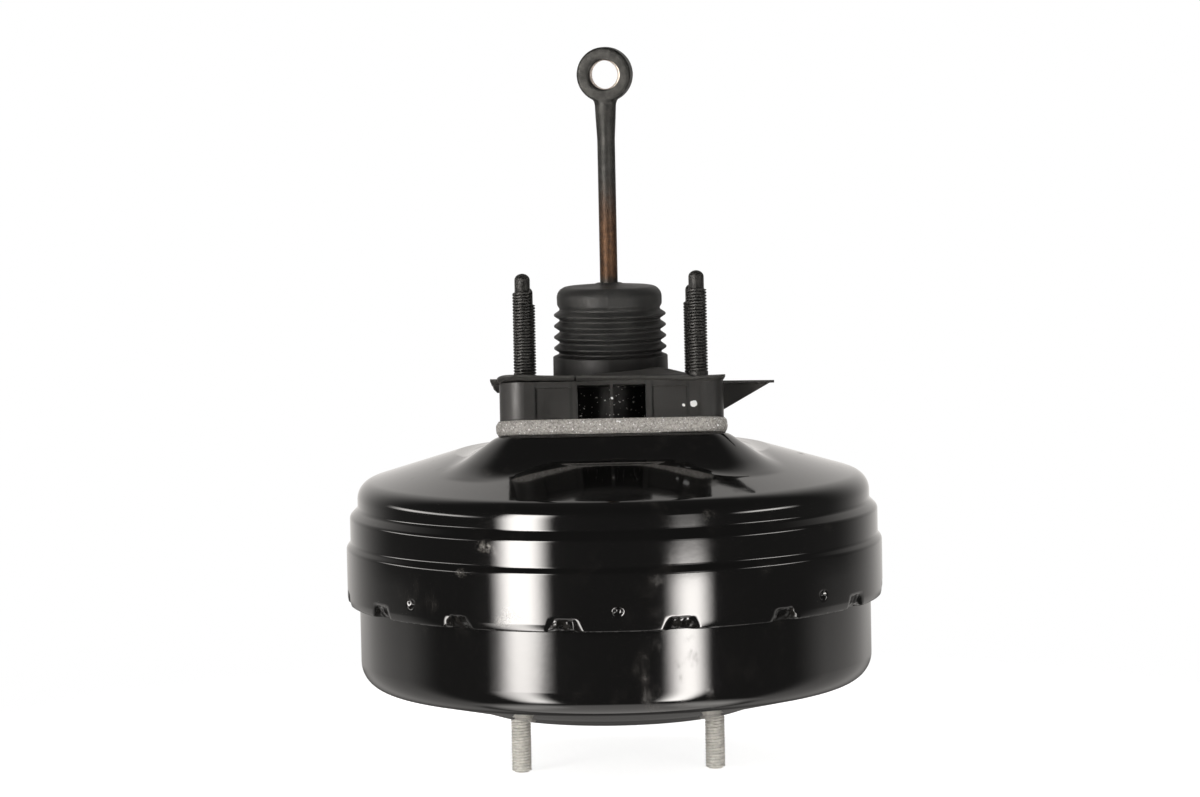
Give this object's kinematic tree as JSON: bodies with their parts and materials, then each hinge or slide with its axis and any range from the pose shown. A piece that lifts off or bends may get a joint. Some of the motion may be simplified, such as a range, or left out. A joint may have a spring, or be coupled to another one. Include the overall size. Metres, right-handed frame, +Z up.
{
  "type": "brake booster",
  "caption": "Tandem vacuum brake booster: crimped steel drum, inclined dash spacer with studs, dust boot, pushrod with pedal eye and master cylinder face.",
  "frame": {"origin": "centre of the master cylinder face, on the drum axis", "axes": "+Z up the drum axis towards the pedal eye, -Y the front that the picture shows, +X right"},
  "size_m": [0.268, 0.268, 0.363],
  "materials": {
    "black_paint": "gloss black paint",
    "black_plastic": "satin black moulded plastic",
    "grey_foam": "open cellular foam",
    "boot_rubber": "matt dark grey rubber",
    "seal_rubber": "satin black rubber",
    "black_stud": "black phosphate",
    "zinc_stud": "pale zinc plate",
    "rod_steel": "dark plain steel",
    "zinc_steel": "zinc plate",
    "plate_alloy": "pressed satin",
    "spring_steel": "spring wire",
    "phenolic": "moulded phenolic",
    "filter_felt": "felt and foam"
  },
  "bodies": {
    "housing": {"rear_shell": "black_paint", "hub_neck": "black_paint", "front_shell": "black_paint", "divider_plate": "zinc_steel", "divider_seal": "seal_rubber", "rear_reinforcement_plate": "zinc_steel", "front_reinforcement_plate": "zinc_steel", "firewall_studs": "black_stud", "master_cylinder_studs": "zinc_stud", "foam_seal": "grey_foam", "dash_spacer": "black_plastic", "dash_gasket": "black_plastic", "hub_bearing": "phenolic", "hub_seal": "seal_rubber", "seal_retainer": "zinc_steel", "front_seal": "seal_rubber", "return_spring": "spring_steel", "front_diaphragm": "seal_rubber", "rear_diaphragm": "seal_rubber", "dust_boot": "boot_rubber", "vacuum_check_valve": "black_plastic", "check_valve_grommet": "seal_rubber", "check_valve_spring": "spring_steel"},
    "power_piston": {"valve_body": "phenolic", "valve_key": "zinc_steel", "front_hub": "phenolic", "front_support_plate": "plate_alloy", "rear_support_plate": "plate_alloy", "rear_lock_ring": "zinc_steel", "reaction_disc": "seal_rubber", "output_rod": "zinc_steel", "output_adjuster": "zinc_steel", "output_rod_retainer": "zinc_steel", "poppet_valve": "seal_rubber", "poppet_retainer": "zinc_steel", "poppet_spring": "spring_steel", "valve_return_spring": "spring_steel", "air_filter": "filter_felt", "silencer": "filter_felt"},
    "air_valve": {"air_valve_plunger": "plate_alloy"},
    "pushrod": {"pushrod": "rod_steel", "spring_washer": "zinc_steel"},
    "check_disc": {"check_valve_disc": "black_plastic"}
  },
  "joints": [
    {"name": "power_piston_slide", "type": "slide", "parent": "housing", "child": "power_piston", "axis": [0, 0, -1], "range_m": [0, 0.03], "stiffness_N_per_m": 3500, "springref_m": -0.03, "deforming": ["return_spring", "front_diaphragm", "rear_diaphragm", "dust_boot"]},
    {"name": "air_valve_slide", "type": "slide", "parent": "power_piston", "child": "air_valve", "axis": [0, 0, -1], "range_m": [0, 0.0015], "stiffness_N_per_m": 2500, "springref_m": -0.006, "deforming": ["valve_return_spring"]},
    {"name": "pushrod_swing", "type": "hinge", "parent": "air_valve", "child": "pushrod", "pos_m": [0, 0, 0.1505], "axis": [-0.2079, -0.9781, 0], "range_deg": [-2, 2], "stiffness_Nm_per_rad": 2},
    {"name": "check_disc_slide", "type": "slide", "parent": "housing", "child": "check_disc", "axis": [0, 0, -1], "range_m": [0, 0.0012], "stiffness_N_per_m": 60, "springref_m": -0.002, "deforming": ["check_valve_spring"]}
  ]
}
